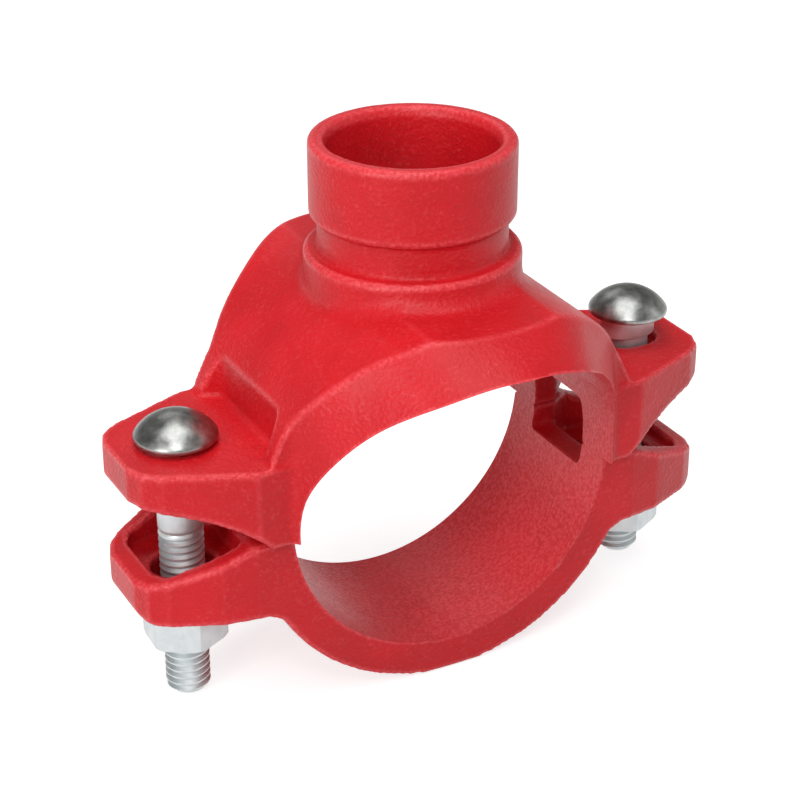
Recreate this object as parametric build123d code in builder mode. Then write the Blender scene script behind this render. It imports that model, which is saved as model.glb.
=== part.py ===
from build123d import *
import math
import os

os.makedirs("parts", exist_ok=True)

# A mechanical tee: a saddle with a grooved branch outlet and a plain strap,
# bolted together round a run pipe over a hole cut in its wall.
# Millimetres. X runs across the pipe from bolt to bolt, Y along the run pipe,
# Z up the branch. The origin is on the run pipe's axis under the outlet.

# ---- Run pipe and the two half rings
pipe_d = 73.0              # outside diameter of the run pipe
pipe_clearance = 0.1       # radial, between the pipe and both housings
ring_wall = 7.8
parting_drop = 2.6         # the housings meet this far below the pipe's axis
strap_width = 37.2
saddle_width = 41.0        # along the pipe, at the ears

# ---- Skirt of the saddle, given as half lengths along the pipe
crown_z = 42.2             # flat top of the shoulder
crest_at_crown = 37.0      # shoulder's edge above the pipe's crown
foot_at_crown = 47.2       # where the skirt meets the pipe at its crown
skirt_end_x = 38.0         # the skirt has run out to the ear's width here
flank_draft = 0.02         # least lean of the flanks, per mm of height

# ---- Branch outlet, grooved for a 1-1/4 in. coupling
outlet_d = 42.2
outlet_end_z = 70.4
lip_length = 15.9
groove_d = 39.0
groove_width = 7.1
boss_d = 44.8
boss_fillet = 4.0
outlet_bore_d = 35.0
mouth_flare = 1.6          # widening of the bore at the lip
lip_chamfer = 0.6          # outer edges of the lip and of the boss

# ---- Locating collar and gasket round the hole in the pipe
collar_d = 49.0
collar_mouth_d = 42.0
gasket_outer_d = 65.0
gasket_depth = 3.2
gasket_fit = 0.3           # radial gap at the gasket's inner and outer edges

# ---- Ears
ear_end_x = 66.7
ear_top_z = 15.0
ear_bottom_z = -19.4
ear_nose_width = 13.0      # flat end of the ear
ear_plate = 6.0            # top plate of the saddle's ear
strap_plate = 6.5          # bottom plate of the strap's ear
ear_wall = 4.2
window_width = 20.0        # ear pocket's window into the run bore
window_sill = 5.7          # depth of the window in the strap
ear_blend = 6.0            # concave blend from strap ear to strap ring
ear_nose_radius = 3.0      # lower edge of the strap's nose

# ---- Notch in the saddle's end that clears the bolt's head
notch_x = 37.0
notch_width = 28.0
notch_draft = 28.0         # degrees that its sides open outwards
notch_radius = 3.0

# ---- Bolts and nuts, 3/8 in.
bolt_x = 53.4
bolt_d = 9.4
bolt_length = 58.8         # under the head
bolt_end_chamfer = 1.0
head_d = 17.2
head_height = 5.6
head_rim = 1.0
neck_length = 5.0
neck_long = 12.8           # oval neck, its long way across the pipe
neck_width = 9.9
neck_clearance = 0.3
left_standoff = 1.0        # head above its seat, as assembled
right_standoff = 6.4
nut_across_flats = 14.3
nut_height = 8.3
nut_clearance = 0.1        # radial, on the bolt
nut_turn = 27.7            # degrees the nuts stand turned about their bolts

# ---- Worked out from the above
bore_r = pipe_d / 2 + pipe_clearance
groove_z = outlet_end_z - lip_length - groove_width
lip_z = outlet_end_z - lip_length
boss_top_z = groove_z
ring_r = bore_r + ring_wall
parting_z = -parting_drop
collar_mouth_z = math.sqrt(bore_r ** 2 - (collar_mouth_d / 2) ** 2)
long_cut = 4 * foot_at_crown
toe_depth = 1.0            # the skirt's sections end this far inside the bore
hole_width = neck_width + 2 * neck_clearance
hole_length = neck_long + 2 * neck_clearance


def mirrored(points):
    """A closed outline's points, from those of its quarter with x and y above 0."""
    left = [(-x, y) for x, y in reversed(points)]
    upper = points + left
    return upper + [(x, -y) for x, y in reversed(upper)]


# The ears part from the joint on these curves, in the XZ plane.
saddle_ramp = [(42.0, parting_z), (48.0, 1.8), (56.0, 5.0), (68.0, 7.8)]
strap_ramp = [(45.0, parting_z), (51.0, -5.4), (58.0, -8.0), (68.0, -11.0)]

# Half the ear's plan, from the nose inwards.
ear_plan = [
    (ear_end_x, ear_nose_width / 2),
    (ear_end_x - 1.4, ear_nose_width / 2 + 3.7),
    (ear_end_x - 4.8, ear_nose_width / 2 + 6.5),
    (ear_end_x - 14.9, ear_nose_width / 2 + 10.9),
]

# Plan of the pocket cored into each ear, which keeps the ear's wall.
pocket_plan = [
    (ear_end_x - ear_wall, ear_nose_width / 2 + 0.6),
    (ear_end_x - ear_wall - 1.8, ear_nose_width / 2 + 3.9),
    (ear_end_x - ear_wall - 15.5, ear_nose_width / 2 + 11.1 - ear_wall + 0.6),
    (ear_end_x - ear_wall - 20.5, window_width / 2),
    (bore_r - 6, window_width / 2),
]


def both_ends(points):
    """Closed outlines of a pocket at each end, mirrored about the branch."""
    for side in (1, -1):
        right = [(side * x, y) for x, y in points]
        yield right + [(x, -y) for x, y in reversed(right)]


def ear_outline(width):
    """Plan of both ears as one bar with tapered noses, as wide as its housing."""
    return mirrored(ear_plan + [(ear_end_x - 22.1, width / 2)])


# ---- Gasket: a ring round the collar, bent to the pipe. Its pocket in the
# saddle is the same ring with the fit added.
def ring_on_pipe(inner_r, outer_r, roof_r):
    """Fill a ring round the branch, from the run bore out to a cylinder."""
    with BuildSketch() as ring:
        Circle(outer_r)
        Circle(inner_r, mode=Mode.SUBTRACT)
    extrude(ring.sketch, amount=2 * bore_r)
    Cylinder(roof_r, long_cut, rotation=(90, 0, 0), mode=Mode.INTERSECT)


with BuildPart() as gasket:
    ring_on_pipe(collar_d / 2 + gasket_fit, gasket_outer_d / 2, bore_r + gasket_depth)
    Cylinder(bore_r, long_cut, rotation=(90, 0, 0), mode=Mode.SUBTRACT)

with BuildPart() as gasket_pocket:
    ring_on_pipe(collar_d / 2, gasket_outer_d / 2 + gasket_fit, bore_r + gasket_depth)

# ---- Upper housing: shoulder and skirt
# Sections across X. In each, the flank runs straight from the shoulder's
# edge, the crest, out to the foot on the run bore, and ends just inside it.
def skirt_section(x):
    """Right half of the skirt's section at x, as (y, z) points from the bottom."""
    spread = max(1 - (x / skirt_end_x) ** 2, 0)
    ear = saddle_width / 2
    crest = ear + (crest_at_crown - ear) * spread ** 1.25
    foot = ear + (foot_at_crown - ear) * spread
    foot_z = math.sqrt(max(bore_r ** 2 - x ** 2, 0))
    crest_z = min(crown_z, math.sqrt(ring_r ** 2 - x ** 2))
    slope = max((foot - crest) / (crest_z - foot_z), flank_draft)
    top_z = ring_r + toe_depth
    return [
        (foot + slope * toe_depth, parting_z - toe_depth),
        (foot + slope * toe_depth, foot_z - toe_depth),
        (foot - slope * (top_z - foot_z), top_z),
    ]


half_stations = [0.3, 0.55, 0.75, 0.9, 1.0, 1.12]
stations = [-s for s in reversed(half_stations)] + [0] + half_stations

with BuildPart() as upper_housing:
    for station in stations:
        section = skirt_section(station * skirt_end_x)
        with BuildSketch(Plane.YZ.offset(station * skirt_end_x)):
            with BuildLine():
                Polyline(*section, *[(-y, z) for y, z in reversed(section)], close=True)
            make_face()
    loft()
    # The shoulder is round with the pipe and flat on its crown.
    with BuildSketch(Plane.XZ):
        Circle(ring_r)
        with Locations((0, parting_z)):
            Rectangle(
                2 * ring_r,
                crown_z - parting_z,
                align=(Align.CENTER, Align.MIN),
                mode=Mode.INTERSECT,
            )
    extrude(amount=long_cut, both=True, mode=Mode.INTERSECT)

    # Boss under the outlet, blended into the shoulder.
    with BuildSketch(Plane.XY.offset(parting_z)):
        Circle(boss_d / 2)
    extrude(amount=boss_top_z - parting_z)
    boss_root = [
        edge
        for edge in upper_housing.edges()
        if abs(math.hypot((edge @ 0.5).X, (edge @ 0.5).Y) - boss_d / 2) < 0.01
        and (edge @ 0.5).Z < boss_top_z - 0.5
    ]
    fillet(boss_root, boss_fillet)
    chamfer(upper_housing.faces().sort_by(Axis.Z)[-1].edges(), lip_chamfer)

    # Grooved outlet on the boss
    with BuildSketch(Plane.XZ) as outlet:
        with BuildLine():
            Polyline(
                (0, crown_z),
                (groove_d / 2, crown_z),
                (groove_d / 2, lip_z),
                (outlet_d / 2, lip_z),
                (outlet_d / 2, outlet_end_z),
                (0, outlet_end_z),
                close=True,
            )
        make_face()
        chamfer(outlet.vertices().group_by(Axis.X)[-1], lip_chamfer)
    revolve(axis=Axis.Z)

    # Ears
    with BuildSketch(Plane.XY.offset(parting_z)):
        with BuildLine():
            Polyline(*ear_outline(saddle_width), close=True)
        make_face()
    extrude(amount=ear_top_z - parting_z)
    for side in (1, -1):
        ramp = [(side * x, z) for x, z in saddle_ramp]
        with BuildSketch(Plane.XZ):
            with BuildLine():
                Spline(*ramp)
                Polyline(ramp[-1], (ramp[-1][0], parting_z), ramp[0])
            make_face()
        extrude(amount=saddle_width, both=True, mode=Mode.SUBTRACT)

    # Notches for the bolts' heads
    with BuildSketch(Plane.XY.offset(ear_top_z)) as notches:
        spread = math.tan(math.radians(notch_draft)) * (ear_end_x - notch_x)
        for side in (1, -1):
            with BuildLine():
                Polyline(
                    (side * notch_x, notch_width / 2),
                    (side * ear_end_x, notch_width / 2 + spread),
                    (side * ear_end_x, -notch_width / 2 - spread),
                    (side * notch_x, -notch_width / 2),
                    close=True,
                )
            make_face()
        corners = notches.vertices().filter_by(lambda v: abs(abs(v.X) - notch_x) < 0.01)
        fillet(corners, notch_radius)
    extrude(amount=ring_r, mode=Mode.SUBTRACT)

    # Run bore, gasket pocket, ear pockets and bolt slots
    Cylinder(bore_r, long_cut, rotation=(90, 0, 0), mode=Mode.SUBTRACT)
    add(gasket_pocket.part, mode=Mode.SUBTRACT)
    with BuildSketch(Plane.XY.offset(parting_z)):
        for outline in both_ends(pocket_plan):
            with BuildLine():
                Polyline(*outline, close=True)
            make_face()
    extrude(amount=ear_top_z - ear_plate - parting_z, mode=Mode.SUBTRACT)
    with BuildSketch(Plane.XY.offset(ear_top_z - ear_plate)):
        with Locations((bolt_x, 0), (-bolt_x, 0)):
            SlotOverall(hole_length, hole_width)
    extrude(amount=ear_plate, mode=Mode.SUBTRACT)

    # Branch bore, opened towards the collar's mouth
    with BuildSketch(Plane.XZ):
        with BuildLine():
            Polyline(
                (0, 0),
                (collar_mouth_d / 2, 0),
                (collar_mouth_d / 2, collar_mouth_z),
                (outlet_bore_d / 2, groove_z),
                (outlet_bore_d / 2, outlet_end_z - mouth_flare),
                (outlet_bore_d / 2 + mouth_flare / 2, outlet_end_z),
                (0, outlet_end_z),
                close=True,
            )
        make_face()
    revolve(axis=Axis.Z, mode=Mode.SUBTRACT)

# ---- Lower housing: a plain strap ring with the same ears below the joint
with BuildPart() as lower_housing:
    with BuildSketch(Plane.XZ):
        Circle(ring_r)
    extrude(amount=strap_width / 2, both=True)
    with BuildSketch(Plane.XY.offset(ear_bottom_z)):
        with BuildLine():
            Polyline(*ear_outline(strap_width), close=True)
        make_face()
    extrude(amount=ring_r)
    blend_edges = [
        edge
        for edge in lower_housing.edges().filter_by(Axis.Y)
        if abs((edge @ 0.5).Z - ear_bottom_z) < 0.01 and abs((edge @ 0.5).X) < ring_r
    ]
    fillet(blend_edges, ear_blend)
    with BuildSketch(Plane.XZ):
        with Locations((0, parting_z)):
            Rectangle(2 * long_cut, long_cut, align=(Align.CENTER, Align.MIN))
    extrude(amount=long_cut, both=True, mode=Mode.SUBTRACT)
    for side in (1, -1):
        ramp = [(side * x, z) for x, z in strap_ramp]
        with BuildSketch(Plane.XZ):
            with BuildLine():
                Spline(*ramp)
                Polyline(ramp[-1], (ramp[-1][0], parting_z), ramp[0])
            make_face()
        extrude(amount=strap_width, both=True, mode=Mode.SUBTRACT)
    nose_edges = [
        edge
        for edge in lower_housing.edges().filter_by(Axis.Y)
        if abs((edge @ 0.5).Z - ear_bottom_z) < 0.01 and abs((edge @ 0.5).X) > bolt_x
    ]
    fillet(nose_edges, ear_nose_radius)
    Cylinder(bore_r, long_cut, rotation=(90, 0, 0), mode=Mode.SUBTRACT)

    # Window into the run bore, then the deeper pocket in each ear
    pocket_floor_z = ear_bottom_z + strap_plate
    with BuildSketch(Plane.XY.offset(parting_z - window_sill)):
        for outline in both_ends(pocket_plan):
            with BuildLine():
                Polyline(*outline, close=True)
            make_face()
    extrude(amount=ring_r, mode=Mode.SUBTRACT)
    with BuildSketch(Plane.XY.offset(pocket_floor_z)):
        for outline in both_ends(pocket_plan[:-1]):
            with BuildLine():
                Polyline(*outline, close=True)
            make_face()
    extrude(amount=ring_r, mode=Mode.SUBTRACT)
    with BuildSketch(Plane.XY.offset(ear_bottom_z)):
        with Locations((bolt_x, 0), (-bolt_x, 0)):
            SlotOverall(hole_length, hole_width)
    extrude(amount=strap_plate, mode=Mode.SUBTRACT)


# ---- Bolts: domed head, oval neck and a plain shank down to the thread
def make_bolt(x, seat_z):
    """A bolt at x, with the underside of its head at seat_z."""
    with BuildPart() as bolt:
        with BuildSketch(Plane.XZ) as half:
            with BuildLine():
                rim = (head_d / 2, head_rim)
                Polyline((0, head_height), (0, 0), (head_d / 2, 0), rim)
                TangentArc((0, head_height), rim, tangent=(1, 0))
            make_face()
        revolve(half.sketch, axis=Axis.Z)
        with BuildSketch() as neck:
            SlotOverall(neck_long, neck_width)
        extrude(neck.sketch, amount=-neck_length)
        with BuildSketch() as shank:
            Circle(bolt_d / 2)
        extrude(shank.sketch, amount=-bolt_length)
        end_edge = bolt.edges().sort_by(Axis.Z)[0]
        chamfer(end_edge, bolt_end_chamfer)
    return bolt.part.moved(Location((x, 0, seat_z)))


# ---- Nuts: chamfered hexagons, each up against its strap ear
def make_nut(x):
    """A nut on the bolt at x."""
    with BuildPart() as nut:
        with BuildSketch() as hexagon:
            RegularPolygon(nut_across_flats / 2, 6, major_radius=False)
        extrude(hexagon.sketch, amount=-nut_height)
        with BuildSketch(Plane.XZ) as cone:
            across_corners = nut_across_flats / math.cos(math.pi / 6)
            corner = (across_corners - nut_across_flats) / 2
            drop = corner * math.tan(math.radians(30))
            with BuildLine():
                Polyline(
                    (0, 0),
                    (nut_across_flats / 2, 0),
                    (across_corners / 2, -drop),
                    (across_corners / 2, drop - nut_height),
                    (nut_across_flats / 2, -nut_height),
                    (0, -nut_height),
                    close=True,
                )
            make_face()
        revolve(cone.sketch, axis=Axis.Z, mode=Mode.INTERSECT)
        with BuildSketch() as bore:
            Circle(bolt_d / 2 + nut_clearance)
        extrude(bore.sketch, amount=-nut_height, mode=Mode.SUBTRACT)
    return nut.part.moved(Location((x, 0, ear_bottom_z), (0, 0, nut_turn)))


pieces = {
    "upper_housing": upper_housing.part,
    "lower_housing": lower_housing.part,
    "gasket": gasket.part,
    "bolt_left": make_bolt(-bolt_x, ear_top_z + left_standoff),
    "bolt_right": make_bolt(bolt_x, ear_top_z + right_standoff),
    "nut_left": make_nut(-bolt_x),
    "nut_right": make_nut(bolt_x),
}
for name, piece in pieces.items():
    piece.label = name
    export_step(piece, f"parts/{name}.step")
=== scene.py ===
import math

import bmesh
import bpy
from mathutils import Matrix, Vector


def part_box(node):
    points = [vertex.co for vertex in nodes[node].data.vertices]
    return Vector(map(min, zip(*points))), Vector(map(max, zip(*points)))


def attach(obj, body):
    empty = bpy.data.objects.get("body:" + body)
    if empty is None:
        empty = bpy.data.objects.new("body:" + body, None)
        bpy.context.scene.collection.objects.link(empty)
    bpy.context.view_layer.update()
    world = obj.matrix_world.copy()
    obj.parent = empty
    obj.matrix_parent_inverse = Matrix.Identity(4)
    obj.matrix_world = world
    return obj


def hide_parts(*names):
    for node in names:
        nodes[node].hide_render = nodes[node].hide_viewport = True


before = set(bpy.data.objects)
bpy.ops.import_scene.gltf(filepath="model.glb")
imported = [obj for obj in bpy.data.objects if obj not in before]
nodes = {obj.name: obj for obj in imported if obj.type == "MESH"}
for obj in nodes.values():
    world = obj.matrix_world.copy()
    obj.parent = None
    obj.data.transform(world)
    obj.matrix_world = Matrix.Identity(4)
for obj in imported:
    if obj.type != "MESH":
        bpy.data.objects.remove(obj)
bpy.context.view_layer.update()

# ---- Upper housing: the saddle with its branch outlet
# One casting of ductile iron, bored to the run pipe, with the outlet's lip and
# groove turned. It is dipped in red paint, which shows the grain of the sand
# mould and rounds the edges.
cast_remesh = 0.0006       # grid that the casting is rebuilt on
cast_rounding = 5          # smoothing passes over the cast edges
cast_softness = 1.0        # share of that smoothing on cast surfaces
turned_softness = 0.15     # and on turned ones, which stay crisper
turned_from = 0.0475       # height above which the outlet is turned
cast_crease = math.radians(40)
run_bore = 0.0366          # radius that both housings are bored to
bore_steps = 240
reamer_length = 0.2
bore_spare = 0.0015        # metal left inside the bore while the skin is rebuilt
bore_tolerance = 2e-5      # a vertex this near to the bore's radius lies on it
skirt_from = 0.0203        # the skirt's foot lies further out along the pipe
flank_tilt = 0.3           # least lean of a skirt's flank along the pipe
pocket_reach = 0.0335      # gasket pocket and branch opening, round the branch
merge_distance = 1e-6

metre_to_mm = 1000.0
paint_bright = (0.64, 0.009, 0.016, 1)
paint_dull = (0.55, 0.007, 0.012, 1)
# Colour of the painted highlights: the glints on the grain and the lines along the edges.
painted_highlight_colour = (0.84, 0.090, 0.105, 1)
paint_drift_mm = 16.0      # patches of brighter and duller red
paint_lumps_mm = 5.0       # unevenness of the mould
paint_grain_mm = 0.8       # grains of sand, for the bump and for the painted glints
paint_relief_mm = 0.22     # height of the lumps, and of the grain
drift_range = (0.35, 0.65)
coarse_range = (0.42, 0.60)
glint_range = (0.52, 0.72)
# Pointiness over which the painted edge highlight comes in, and the grain values that break
# it up.
edge_range = (0.503, 0.52)
edge_breakup_range = (0.40, 0.62)
glint_least, glint_more = 0.06, 0.22
edge_least, edge_more = 0.25, 0.45
paint_roughness = 0.42
highlight_polish = 0.16         # the painted highlights on the glints and edges are this much smoother


class Socket:
    """A value in a material's node tree, on which plain arithmetic adds Math nodes."""

    def __init__(self, tree, link):
        self.tree, self.link = tree, link

    def node(self, kind, settings=None, inputs=None, output=0):
        """Add a node, set its settings, then fill its sockets with values or links."""
        made = self.tree.nodes.new(kind)
        for key, value in (settings or {}).items():
            setattr(made, key, value)
        for key, value in (inputs or {}).items():
            if isinstance(value, Socket):
                self.tree.links.new(value.link, made.inputs[key])
            else:
                made.inputs[key].default_value = value
        return Socket(self.tree, made.outputs[output])

    def math(self, operation, *values):
        inputs = dict(enumerate(values))
        return self.node("ShaderNodeMath", {"operation": operation}, inputs)

    def __add__(self, other):
        return self.math("ADD", self, other)

    def __radd__(self, other):
        return self.math("ADD", other, self)

    def __sub__(self, other):
        return self.math("SUBTRACT", self, other)

    def __rsub__(self, other):
        return self.math("SUBTRACT", other, self)

    def __mul__(self, other):
        return self.math("MULTIPLY", self, other)

    def __rmul__(self, other):
        return self.math("MULTIPLY", other, self)

    def or_more(self, other):
        """The greater of the two values."""
        return self.math("MAXIMUM", self, other)

    def clamped(self, low, high):
        """0 below low and 1 above high, with an even rise between."""
        inputs = {"Value": self, "From Min": low, "From Max": high}
        return self.node("ShaderNodeMapRange", {"clamp": True}, inputs)

    def mixed(self, first, second):
        """A colour from first to second as this value goes from 0 to 1."""
        inputs = {0: self, 6: first, 7: second}
        return self.node("ShaderNodeMix", {"data_type": "RGBA"}, inputs, output=2)

    def noise(self, size_mm, detail=2.0, roughness=0.5):
        """Noise over these coordinates, with lumps of about size_mm."""
        inputs = {
            "Vector": self,
            "Scale": metre_to_mm / size_mm,
            "Detail": detail,
            "Roughness": roughness,
        }
        return self.node("ShaderNodeTexNoise", inputs=inputs)

    def bump(self, height_mm, normal=None):
        """A normal that follows this value as a height, over another bump if given."""
        inputs = {"Height": self, "Distance": height_mm / metre_to_mm, "Strength": 1.0}
        if normal is not None:
            inputs["Normal"] = normal
        return self.node("ShaderNodeBump", inputs=inputs)


def new_material(name, **shader):
    """A material, its plain shader with these values, and the object's coordinates."""
    material = bpy.data.materials.new(name)
    material.use_nodes = True
    tree = material.node_tree
    surface = tree.nodes["Principled BSDF"]
    for key, value in shader.items():
        surface.inputs[key.replace("_", " ")].default_value = value
    place = Socket(tree, tree.nodes.new("ShaderNodeTexCoord").outputs["Object"])
    return material, surface, place


def feed(surface, **sockets):
    """Link values to a shader's sockets, named with _ for each space."""
    for key, value in sockets.items():
        value.tree.links.new(value.link, surface.inputs[key.replace("_", " ")])


painted_iron, surface, place = new_material(
    "painted_iron", Specular_IOR_Level=0.28, Coat_Weight=0.06, Coat_Roughness=0.15
)
drift = place.noise(paint_drift_mm, detail=3.0)
grain = place.noise(paint_grain_mm, roughness=0.6)
lumps = place.noise(paint_lumps_mm)
coarse = lumps.clamped(*coarse_range)
# Painted highlights: pale specks on the grain stand in for the lamps' glints on the paint,
# with more of them where the mould is coarse.
glints = grain.clamped(*glint_range) * (glint_least + glint_more * coarse)
# Painted highlight: the paint is made pale along the sharp cast edges, broken up by the
# grain.
sharpness = place.node("ShaderNodeNewGeometry", output="Pointiness")
edge_breakup = grain.clamped(*edge_breakup_range)
edges = sharpness.clamped(*edge_range) * (edge_least + edge_more * edge_breakup)
# The painted glints and painted edge highlights, whichever is stronger.
painted_highlights = glints.or_more(edges)
paint = drift.clamped(*drift_range).mixed(paint_dull, paint_bright)
feed(
    surface,
    Base_Color=painted_highlights.mixed(paint, painted_highlight_colour),
    Roughness=paint_roughness - highlight_polish * painted_highlights,
    Normal=grain.bump(paint_relief_mm, lumps.bump(paint_relief_mm)),
)


def select_only(piece):
    bpy.ops.object.select_all(action="DESELECT")
    bpy.context.view_layer.objects.active = piece
    piece.select_set(True)


def apply_modifier(piece, kind, **settings):
    """Put one modifier on the active piece and apply it."""
    modifier = piece.modifiers.new(kind.lower(), kind)
    for key, value in settings.items():
        setattr(modifier, key, value)
    bpy.ops.object.modifier_apply(modifier=modifier.name)


def thicken_bore(skin):
    """Carry every face that ends on the run bore on by the spare metal."""
    skin.normal_update()
    for vert in skin.verts:
        across, along, up = vert.co
        if abs(math.hypot(across, up) - run_bore) > bore_tolerance:
            continue
        if math.hypot(across, along) < pocket_reach and up > 0:
            vert.co.z -= bore_spare
            continue
        inward = Vector((-across, 0, -up)).normalized() * bore_spare
        if abs(along) > skirt_from:
            normals = [face.normal for face in vert.link_faces]
            flanks = [normal for normal in normals if abs(normal.y) > flank_tilt]
            if flanks:
                lean = sum(flanks, Vector()).normalized()
                inward.y = -inward.dot(lean) / lean.y
        vert.co += inward


def casting_from(node, name):
    """A copy of a CAD node as one skin with soft edges, bored to the run pipe."""
    mesh = nodes[node].data.copy()
    casting = bpy.data.objects.new(name, mesh)
    bpy.context.scene.collection.objects.link(casting)
    skin = bmesh.new()
    skin.from_mesh(mesh)
    bmesh.ops.remove_doubles(skin, verts=skin.verts, dist=merge_distance)
    thicken_bore(skin)
    skin.to_mesh(mesh)
    skin.free()
    bpy.ops.object.select_all(action="DESELECT")
    bpy.ops.mesh.primitive_cylinder_add(
        vertices=bore_steps,
        radius=run_bore,
        depth=reamer_length,
        rotation=(math.pi / 2, 0, 0),
    )
    reamer = bpy.context.object
    select_only(casting)
    apply_modifier(casting, "REMESH", mode="VOXEL", voxel_size=cast_remesh)
    softness = casting.vertex_groups.new(name="softness")
    for vert in casting.data.vertices:
        turned = vert.co.z > turned_from
        share = turned_softness if turned else cast_softness
        softness.add([vert.index], share, "REPLACE")
    apply_modifier(
        casting, "SMOOTH", factor=0.5, iterations=cast_rounding, vertex_group=softness.name
    )
    casting.vertex_groups.clear()
    apply_modifier(casting, "BOOLEAN", operation="DIFFERENCE", object=reamer)
    bpy.data.objects.remove(reamer)
    casting.data.materials.clear()
    bpy.ops.object.shade_smooth_by_angle(angle=cast_crease)
    return casting


saddle = casting_from("upper_housing", "saddle_casting")
saddle.data.materials.append(painted_iron)
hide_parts("upper_housing")
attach(saddle, "saddle")

# ---- Lower housing: the strap
# A plain half ring with the two lower ears, of the same iron and paint. The two
# bolts draw it up against the pipe's far side.
strap = casting_from("lower_housing", "strap_casting")
strap.data.materials.append(painted_iron)
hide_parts("lower_housing")
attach(strap, "strap")

# ---- Gasket
# A ring of moulded black rubber, bent to the pipe. It is pressed into the
# saddle's pocket round the opening, with a faint bloom on its surface.
rubber_dark = (0.012, 0.012, 0.013, 1)
rubber_pale = (0.03, 0.03, 0.032, 1)
bloom_mm = 3.0             # patches of the bloom, here and on the zinc
bloom_range = (0.3, 0.7)

rubber, surface, place = new_material("gasket_rubber", Specular_IOR_Level=0.35)
bloom = place.noise(bloom_mm, detail=3.0)
feed(
    surface,
    Base_Color=bloom.clamped(*bloom_range).mixed(rubber_dark, rubber_pale),
    Roughness=0.55 + 0.2 * bloom,
    Normal=place.noise(0.5).bump(0.02),
)
gasket = nodes["gasket"]
for slot in gasket.material_slots:
    slot.material = rubber

# ---- Bolts
# Track-head bolts of zinc-plated steel, forged with a domed head and an oval
# neck that keeps them from turning in the ears. The thread is rolled. The
# domes are rubbed bright, and the rest of the plating is matt.
inch = 0.0254
bolt_radius = 0.0047
thread_root = 0.0040
thread_pitch = inch / 16
thread_turns = 25
thread_fade = 2.0          # turns over which the thread runs out into the shank
root_flat = 0.12           # shares of the pitch: end of the flat at the root,
crest_from = 0.45          # start of the flat at the crest
crest_to = 0.62            # and its end
turns_below = 1.5          # turns made below the tip, and cut off there
turns_spare = 4            # extra turns, for what is cut off at both ends
thread_stop = 0.3          # turns past the thread's end where the shank begins
tip_chamfer = 0.0011
head_radius = 0.0086
head_height = 0.0056
head_rim = 0.0010
near_rim = 0.98            # share of the radius past which an edge is on the rim
dome_rings = 10            # steps in which the dome is raised
neck_width = 0.0099
neck_span = 0.0128         # the oval neck's long way
neck_length = 0.0050
shank_overlap = 0.0008     # the shank starts this far up inside the neck
forged_edge = 0.0003
round_steps = 48
facing = 0.999             # a normal with more than this along Z faces that way
same_height = 1e-6
bolt_crease = math.radians(35)
head_dark = (0.27, 0.28, 0.27, 1)
head_bright = (0.44, 0.44, 0.42, 1)
zinc_dark = (0.56, 0.60, 0.61, 1)
zinc_bright = (0.68, 0.72, 0.73, 1)
scuff_range = (0.35, 0.65)

polished_zinc, surface, place = new_material("polished_zinc", Metallic=1.0)
scuffs = place.noise(2.0, detail=4.0, roughness=0.7)
feed(
    surface,
    Base_Color=scuffs.clamped(*scuff_range).mixed(head_dark, head_bright),
    Roughness=0.22 + 0.24 * scuffs,
    Normal=place.noise(0.7).bump(0.015),
)
matt_zinc, surface, place = new_material("matt_zinc", Metallic=0.75)
bloom = place.noise(bloom_mm, detail=3.0)
feed(
    surface,
    Base_Color=bloom.clamped(*bloom_range).mixed(zinc_dark, zinc_bright),
    Roughness=0.40 + 0.12 * bloom,
    Normal=place.noise(0.9, detail=3.0).bump(0.015),
)


def pick(mesh, chosen):
    """Select just the faces whose middle and normal pass the test."""
    bpy.ops.mesh.select_all(action="DESELECT")
    editing = bmesh.from_edit_mesh(mesh)
    for face in editing.faces:
        face.select_set(chosen(face.calc_center_median(), face.normal))
    bmesh.update_edit_mesh(mesh)


def make_rod(x, tip, top):
    """The rolled thread and plain shank of a bolt at x, as one closed rod."""
    tooth = [
        (thread_root, 0),
        (thread_root, root_flat * thread_pitch),
        (bolt_radius, crest_from * thread_pitch),
        (bolt_radius, crest_to * thread_pitch),
        (thread_root, thread_pitch),
    ]
    start = tip - turns_below * thread_pitch
    end = tip + thread_turns * thread_pitch
    steps = [(step, step + 1) for step in range(len(tooth) - 1)]
    mesh = bpy.data.meshes.new("thread")
    mesh.from_pydata([(radius, 0, start + up) for radius, up in tooth], steps, [])
    rod = bpy.data.objects.new("rod", mesh)
    bpy.context.scene.collection.objects.link(rod)
    select_only(rod)
    apply_modifier(
        rod,
        "SCREW",
        axis="Z",
        screw_offset=thread_pitch,
        iterations=thread_turns + turns_spare,
        steps=round_steps,
        render_steps=round_steps,
        use_merge_vertices=True,
        merge_threshold=merge_distance,
    )
    # The tip is chamfered, and the thread's root rises to the shank at its top.
    for vert in mesh.vertices:
        radius = math.hypot(vert.co.x, vert.co.y)
        cone = bolt_radius - tip_chamfer + max(vert.co.z - tip, 0)
        risen = 1 + (vert.co.z - end) / (thread_fade * thread_pitch)
        shaped = min(radius, cone)
        shaped += (bolt_radius - shaped) * min(max(risen, 0), 1)
        vert.co.x *= shaped / radius
        vert.co.y *= shaped / radius
    # The spiral's loose ends are cut off, which leaves a flat face at each end.
    bpy.ops.object.mode_set(mode="EDIT")
    bpy.ops.mesh.select_all(action="SELECT")
    bpy.ops.mesh.remove_doubles(threshold=merge_distance)
    for level, outward in ((tip, -1), (end + thread_stop * thread_pitch, 1)):
        bpy.ops.mesh.select_all(action="SELECT")
        bpy.ops.mesh.bisect(
            plane_co=(0, 0, level), plane_no=(0, 0, outward), use_fill=True, clear_outer=True
        )
    bpy.ops.mesh.select_all(action="SELECT")
    bpy.ops.mesh.remove_doubles(threshold=merge_distance)
    bpy.ops.mesh.normals_make_consistent(inside=False)
    bpy.ops.mesh.select_mode(type="FACE")
    pick(mesh, lambda middle, normal: normal.z > facing and middle.z > end)
    bpy.ops.mesh.extrude_region_move(TRANSFORM_OT_translate={"value": (0, 0, top - end)})
    bpy.ops.mesh.select_all(action="SELECT")
    bpy.ops.transform.translate(value=(x, 0, 0))
    bpy.ops.object.mode_set(mode="OBJECT")
    return rod


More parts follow.
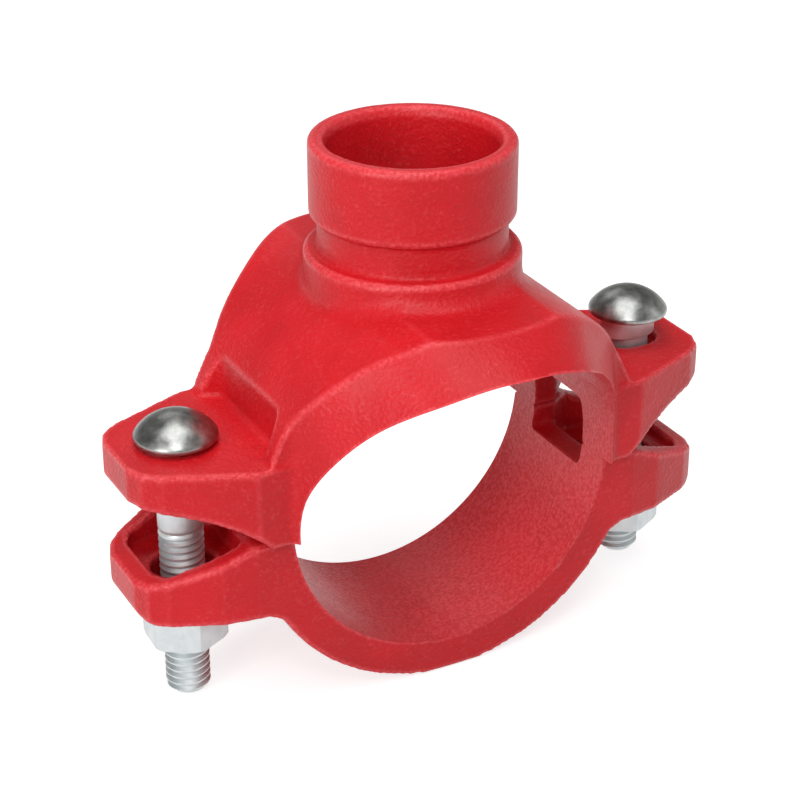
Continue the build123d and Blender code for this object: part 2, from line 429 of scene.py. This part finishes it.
def make_bolt(node, name, body):
    """A whole bolt in a CAD bolt's place."""
    low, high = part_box(node)
    x = (low.x + high.x) / 2
    seat = high.z - head_height
    bpy.ops.object.select_all(action="DESELECT")
    bpy.ops.mesh.primitive_cylinder_add(
        vertices=round_steps,
        radius=head_radius,
        depth=head_rim,
        location=(0, 0, seat + head_rim / 2),
    )
    bolt = bpy.context.object
    bolt.name = name
    bpy.ops.object.transform_apply(location=True, rotation=True, scale=True)
    mesh = bolt.data
    bpy.ops.object.mode_set(mode="EDIT")
    bpy.ops.mesh.select_mode(type="FACE")
    # Dome: the top face is stepped in and up along an arc.
    rise = head_height - head_rim
    dome_radius = (head_radius ** 2 + rise ** 2) / (2 * rise)
    sweep = math.asin(head_radius / dome_radius)
    for ring in range(dome_rings - 1):
        outer = sweep * (1 - ring / dome_rings)
        inner = sweep * (1 - (ring + 1) / dome_rings)
        pick(mesh, lambda middle, normal: normal.z > facing)
        bpy.ops.mesh.inset(
            thickness=dome_radius * (math.sin(outer) - math.sin(inner)),
            depth=dome_radius * (math.cos(inner) - math.cos(outer)),
        )
    pick(mesh, lambda middle, normal: normal.z > facing)
    bpy.ops.mesh.poke(offset=dome_radius * (1 - math.cos(sweep / dome_rings)))
    # Neck: the underside is stepped in, stretched to an oval and drawn down.
    pick(mesh, lambda middle, normal: normal.z < -facing)
    bpy.ops.mesh.inset(thickness=head_radius - neck_width / 2)
    bpy.ops.transform.resize(
        value=(neck_span / neck_width, 1, 1), center_override=(0, 0, seat)
    )
    bpy.ops.mesh.extrude_region_move(TRANSFORM_OT_translate={"value": (0, 0, -neck_length)})
    # The head's rim and the neck's lower end lose their sharp edges.
    bpy.ops.mesh.select_all(action="DESELECT")
    bpy.ops.mesh.select_mode(type="EDGE")
    editing = bmesh.from_edit_mesh(mesh)
    for edge in editing.edges:
        middle = (edge.verts[0].co + edge.verts[1].co) / 2
        level = abs(edge.verts[0].co.z - edge.verts[1].co.z) < same_height
        rim = level and math.hypot(middle.x, middle.y) > near_rim * head_radius
        foot = level and abs(middle.z - seat + neck_length) < same_height
        edge.select_set(rim or foot)
    bmesh.update_edit_mesh(mesh)
    bpy.ops.mesh.bevel(offset=forged_edge, segments=3)
    bpy.ops.mesh.select_all(action="SELECT")
    bpy.ops.transform.translate(value=(x, 0, 0))
    bpy.ops.mesh.normals_make_consistent(inside=False)
    bpy.ops.object.mode_set(mode="OBJECT")

    rod = make_rod(x, low.z, seat - neck_length + shank_overlap)
    select_only(bolt)
    apply_modifier(bolt, "BOOLEAN", operation="UNION", object=rod)
    bpy.data.objects.remove(rod)
    mesh.materials.clear()
    mesh.materials.append(matt_zinc)
    mesh.materials.append(polished_zinc)
    for face in mesh.polygons:
        face.material_index = int(face.center.z > seat + 10 * same_height)
    bpy.ops.object.shade_smooth_by_angle(angle=bolt_crease)
    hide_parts(node)
    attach(bolt, body)


make_bolt("bolt_left", "left_track_bolt", "left_bolt")
make_bolt("bolt_right", "right_track_bolt", "right_bolt")

# ---- Nuts
# Hexagon nuts of zinc-plated steel, cold formed, with their corners turned off
# at both ends. They are run up the bolts against the strap's ears.
nut_flats = 0.0156
nut_height = 0.0108
nut_corners = nut_flats / math.cos(math.pi / 6)
nut_turn = math.radians(27.7)    # how far each nut stands turned about its bolt
nut_bore = 0.0048
nut_cone = 0.0009                # size of the cone at each end of the turned bar
nut_cone_lift = 0.6 * nut_cone   # the bar is stretched by this, so less comes off
nut_cone_spare = 0.00005         # the bar is this much wider than the corners
nut_face_spare = 0.00001         # and this much longer than the nut
nut_edge = 0.00022
nut_crease = math.radians(35)


def make_nut(node, name, body):
    """A whole nut that hangs from the top of a CAD nut."""
    low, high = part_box(node)
    middle = (low + high) / 2
    middle.z = high.z - nut_height / 2
    bpy.ops.object.select_all(action="DESELECT")
    bpy.ops.mesh.primitive_cylinder_add(
        vertices=6,
        radius=nut_corners / 2,
        depth=nut_height,
        location=middle,
        rotation=(0, 0, nut_turn + math.pi / 6),
    )
    nut = bpy.context.object
    nut.name = name
    bpy.ops.object.transform_apply(location=True, rotation=True, scale=True)
    # What the turning leaves is inside a round bar with a cone at each end.
    bpy.ops.mesh.primitive_cylinder_add(
        vertices=2 * round_steps,
        radius=nut_corners / 2 + nut_cone_spare,
        depth=nut_height + nut_face_spare,
        location=middle,
    )
    turned_bar = bpy.context.object
    bpy.ops.object.mode_set(mode="EDIT")
    bpy.ops.mesh.select_mode(type="EDGE")
    bpy.ops.mesh.select_all(action="DESELECT")
    editing = bmesh.from_edit_mesh(turned_bar.data)
    for edge in editing.edges:
        edge.select_set(abs(edge.verts[0].co.z - edge.verts[1].co.z) < same_height)
    bmesh.update_edit_mesh(turned_bar.data)
    bpy.ops.mesh.bevel(offset=nut_cone, segments=1)
    bpy.ops.object.mode_set(mode="OBJECT")
    turned_bar.scale.z = 1 + nut_cone_lift / nut_height
    bpy.ops.mesh.primitive_cylinder_add(
        vertices=round_steps, radius=nut_bore, depth=2 * nut_height, location=middle
    )
    drill = bpy.context.object
    select_only(nut)
    for cutter, operation in ((turned_bar, "INTERSECT"), (drill, "DIFFERENCE")):
        apply_modifier(nut, "BOOLEAN", operation=operation, object=cutter)
        bpy.data.objects.remove(cutter)
    apply_modifier(
        nut,
        "BEVEL",
        width=nut_edge,
        segments=2,
        limit_method="ANGLE",
        angle_limit=nut_crease,
    )
    nut.data.materials.clear()
    nut.data.materials.append(matt_zinc)
    bpy.ops.object.shade_smooth_by_angle(angle=nut_crease)
    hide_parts(node)
    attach(nut, body)


make_nut("nut_left", "left_hex_nut", "left_nut")
make_nut("nut_right", "right_hex_nut", "right_nut")

# ---- Floor, lamps and camera
# The fitting stands on its strap on white paper, under soft lamps. The floor
# goes down with the strap, and the camera looks down on the outlet.
floor_size = 6
floor_shade = (0.55, 0.55, 0.55, 1)
floor_glow = 0.72          # only where the camera or a mirroring surface sees it
white = (1, 1, 1, 1)

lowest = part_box("lower_housing")[0].z
bpy.ops.object.select_all(action="DESELECT")
bpy.ops.mesh.primitive_plane_add(size=floor_size, location=(0, 0, lowest))
floor = bpy.context.object
floor.name = "floor"
paper, surface, place = new_material(
    "white_paper",
    Roughness=0.9,
    Base_Color=floor_shade,
    Specular_IOR_Level=0,
    Emission_Color=white,
)
camera_ray = place.node("ShaderNodeLightPath", output="Is Camera Ray")
glossy_ray = place.node("ShaderNodeLightPath", output="Is Glossy Ray")
feed(surface, Emission_Strength=floor_glow * camera_ray.or_more(glossy_ray))
floor.data.materials.append(paper)
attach(floor, "strap")

plain_low = 0.36           # fill light that comes from the horizon
plain_fall = 0.06          # and how much less comes from above
shiny_low = 0.85           # what glossy surfaces mirror at the horizon instead
shiny_fall = 0.62          # and how much less they mirror from above
shiny_behind = 0.55        # share of it that is missing behind the fitting
ceiling_range = (0.0, 0.5)
behind_range = (0.0, 0.6)

world = bpy.data.worlds.new("studio")
world.use_nodes = True
bpy.context.scene.world = world
sky = world.node_tree
direction = Socket(sky, sky.nodes.new("ShaderNodeTexCoord").outputs["Generated"])
camera_ray = direction.node("ShaderNodeLightPath", output="Is Camera Ray")
glossy_ray = direction.node("ShaderNodeLightPath", output="Is Glossy Ray")
height = direction.node("ShaderNodeSeparateXYZ", inputs={"Vector": direction}, output="Z")
depth = direction.node("ShaderNodeSeparateXYZ", inputs={"Vector": direction}, output="Y")
ceiling = height.clamped(*ceiling_range)
behind = depth.clamped(*behind_range)
plain = plain_low - plain_fall * ceiling
shiny = (shiny_low - shiny_fall * ceiling) * (1 - shiny_behind * behind)
lit = plain + glossy_ray * (shiny - plain)
background = sky.nodes["Background"]
background.inputs["Color"].default_value = white
feed(background, Strength=lit + camera_ray * (1 - lit))

scene = bpy.context.scene
scene.view_settings.view_transform = "Standard"


def lamp(name, place, aim_height, size, power):
    """A soft lamp that is aimed at the outlet's axis at a height."""
    light = bpy.data.lights.new(name, "AREA")
    light.shape = "RECTANGLE"
    light.size, light.size_y = size
    light.energy = power
    aim = Vector((0, 0, aim_height)) - Vector(place)
    holder = bpy.data.objects.new(name, light)
    holder.location = place
    holder.rotation_mode = "QUATERNION"
    holder.rotation_quaternion = aim.to_track_quat("-Z", "Y")
    scene.collection.objects.link(holder)


lamp("left", (-0.60, -0.34, 0.26), aim_height=0.02, size=(0.30, 0.30), power=2.0)
lamp("front", (-0.22, -0.42, 0.50), aim_height=0.04, size=(0.20, 0.20), power=1.1)
lamp("top", (-0.08, -0.06, 0.75), aim_height=0.02, size=(0.60, 0.60), power=3.0)
lamp("right", (0.55, -0.25, 0.35), aim_height=0.02, size=(0.25, 0.35), power=0.3)
lamp("back", (0.10, 0.60, 0.50), aim_height=0.03, size=(0.40, 0.20), power=0.3)

camera_place = (-0.19012, -0.35655, 0.21431)
camera_aim = (0.4156, 0.7914, -0.4482)
camera_lens = 96.515
camera_sensor = 36

camera = bpy.data.cameras.new("camera")
camera.sensor_width = camera_sensor
camera.lens = camera_lens
viewer = bpy.data.objects.new("camera", camera)
viewer.location = camera_place
viewer.rotation_mode = "QUATERNION"
viewer.rotation_quaternion = Vector(camera_aim).to_track_quat("-Z", "Y")
scene.collection.objects.link(viewer)
scene.camera = viewer
